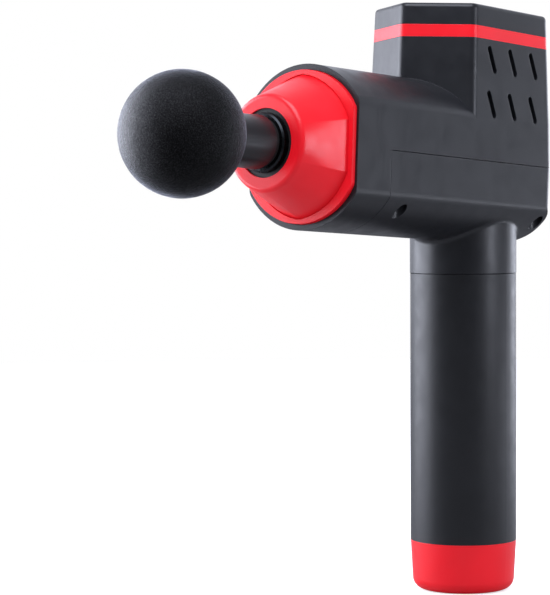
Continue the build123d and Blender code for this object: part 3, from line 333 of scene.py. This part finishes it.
# camera at the photo's angle
SENSOR = 36.0  # millimetres, along the picture's longer side, as the lens is
LENS = 147.5076
AZ, EL, ROLL = math.radians(40.568), math.radians(2.282), math.radians(-0.247)
DISTANCE = 1.10889  # metres from the target
SHIFT_X, SHIFT_Z = -0.08554, 0.13305  # the target, to the right of the foot's centre and above it
right = Vector((math.cos(AZ), math.sin(AZ), 0))
back = Vector((math.sin(AZ) * math.cos(EL), -math.cos(AZ) * math.cos(EL), math.sin(EL)))
up = back.cross(right)
cam_right = right * math.cos(ROLL) + up * math.sin(ROLL)
cam_up = up * math.cos(ROLL) - right * math.sin(ROLL)
target = right * SHIFT_X + Vector((0, 0, SHIFT_Z))
cam = bpy.data.objects.new("camera", bpy.data.cameras.new("camera"))
bpy.context.scene.collection.objects.link(cam)
cam.data.sensor_width = SENSOR
cam.data.lens = LENS
cam.data.clip_start = 0.01
spin = Matrix((cam_right, cam_up, back)).transposed().to_4x4()
cam.matrix_world = Matrix.Translation(target + back * DISTANCE) @ spin
bpy.context.scene.camera = cam

# surroundings that light the object mostly from behind it
LIGHT_TINT = (0.92, 0.96, 1.10, 1)
# brightness against direction, from 0 straight behind the object to 1 at the camera
GLOW_STOPS = (
    (0.0, 1.2), (0.15, 1.1), (0.22, 0.8), (0.3, 0.45),
    (0.5, 0.28), (0.7, 0.33), (0.85, 0.2), (1.0, 0.12),
)
GLOW_SCALE = 2.0  # a colour ramp holds up to 1, so the levels are stored divided by this


def studio_world():
    """White for the camera, and the graded light of GLOW_STOPS for every other ray."""
    world = bpy.data.worlds.new("studio")
    world.use_nodes = True
    tree = world.node_tree
    tree.nodes.clear()
    out = tree.nodes.new("ShaderNodeOutputWorld")
    white = tree.nodes.new("ShaderNodeBackground")
    white.inputs["Color"].default_value = (1, 1, 1, 1)
    light = tree.nodes.new("ShaderNodeBackground")
    light.inputs["Color"].default_value = LIGHT_TINT
    path = tree.nodes.new("ShaderNodeLightPath")
    either = tree.nodes.new("ShaderNodeMixShader")
    direction = tree.nodes.new("ShaderNodeTexCoord").outputs["Generated"]
    facing = tree.nodes.new("ShaderNodeVectorMath")
    facing.operation = "DOT_PRODUCT"
    facing.inputs[1].default_value = tuple(back)
    tree.links.new(direction, facing.inputs[0])
    along = tree.nodes.new("ShaderNodeMapRange")
    along.inputs["From Min"].default_value = -1
    along.inputs["From Max"].default_value = 1
    tree.links.new(facing.outputs["Value"], along.inputs["Value"])
    glow = tree.nodes.new("ShaderNodeValToRGB")
    stops = glow.color_ramp.elements
    while len(stops) < len(GLOW_STOPS):
        stops.new(0.5)
    for stop, (at, level) in zip(stops, GLOW_STOPS):
        stop.position = at
        stop.color = (level / GLOW_SCALE,) * 3 + (1,)
    tree.links.new(along.outputs["Result"], glow.inputs["Fac"])
    strength = tree.nodes.new("ShaderNodeMath")
    strength.operation = "MULTIPLY"
    strength.inputs[1].default_value = GLOW_SCALE
    tree.links.new(glow.outputs["Color"], strength.inputs[0])
    tree.links.new(strength.outputs["Value"], light.inputs["Strength"])
    tree.links.new(path.outputs["Is Camera Ray"], either.inputs[0])
    tree.links.new(light.outputs[0], either.inputs[1])
    tree.links.new(white.outputs[0], either.inputs[2])
    tree.links.new(either.outputs[0], out.inputs["Surface"])
    return world


bpy.context.scene.world = studio_world()


def softbox(name, place, aim, size, radiance):
    """Large soft lamp; place and aim are (right, up, towards the camera) in metres from the foot."""
    lamp = bpy.data.lights.new(name, "AREA")
    lamp.shape = "RECTANGLE"
    lamp.size, lamp.size_y = size
    lamp.color = LIGHT_TINT[:3]
    lamp.energy = radiance * math.pi * size[0] * size[1]
    obj = bpy.data.objects.new(name, lamp)
    bpy.context.scene.collection.objects.link(obj)
    flat_back = Vector((back.x, back.y, 0)).normalized()
    start, end = (right * p[0] + Vector((0, 0, p[1])) + flat_back * p[2] for p in (place, aim))
    obj.location = start
    obj.rotation_mode = "QUATERNION"
    obj.rotation_quaternion = (end - start).to_track_quat("-Z", "Y")
    return obj


softbox("left_box", (-0.60, 0.24, -0.16), (0.0, 0.18, 0.0), (0.6, 0.6), 5.6)
softbox("right_box", (0.44, 0.20, -0.38), (0.16, 0.20, -0.10), (0.25, 0.5), 3.4)
softbox("low_right_box", (0.52, 0.04, -0.03), (0.0, 0.06, 0.0), (0.3, 0.07), 3.0)
softbox("nose_box", (0.40, 0.22, 0.25), (-0.08, 0.19, 0.09), (0.16, 0.22), 6.0)
softbox("top_box", (-0.15, 0.75, 0.35), (-0.05, 0.16, 0.0), (0.5, 0.5), 5.0)

# a lamp on the ball alone, for the bright rim on its left
ball_lamp = softbox("ball_box", (-0.50, 0.24, -0.02), (-0.14, 0.19, 0.12), (0.4, 0.4), 12.0)
ball_only = bpy.data.collections.new("ball_only")
ball_only.objects.link(ball)
ball_lamp.light_linking.receiver_collection = ball_only

bpy.context.scene.view_settings.view_transform = "Standard"
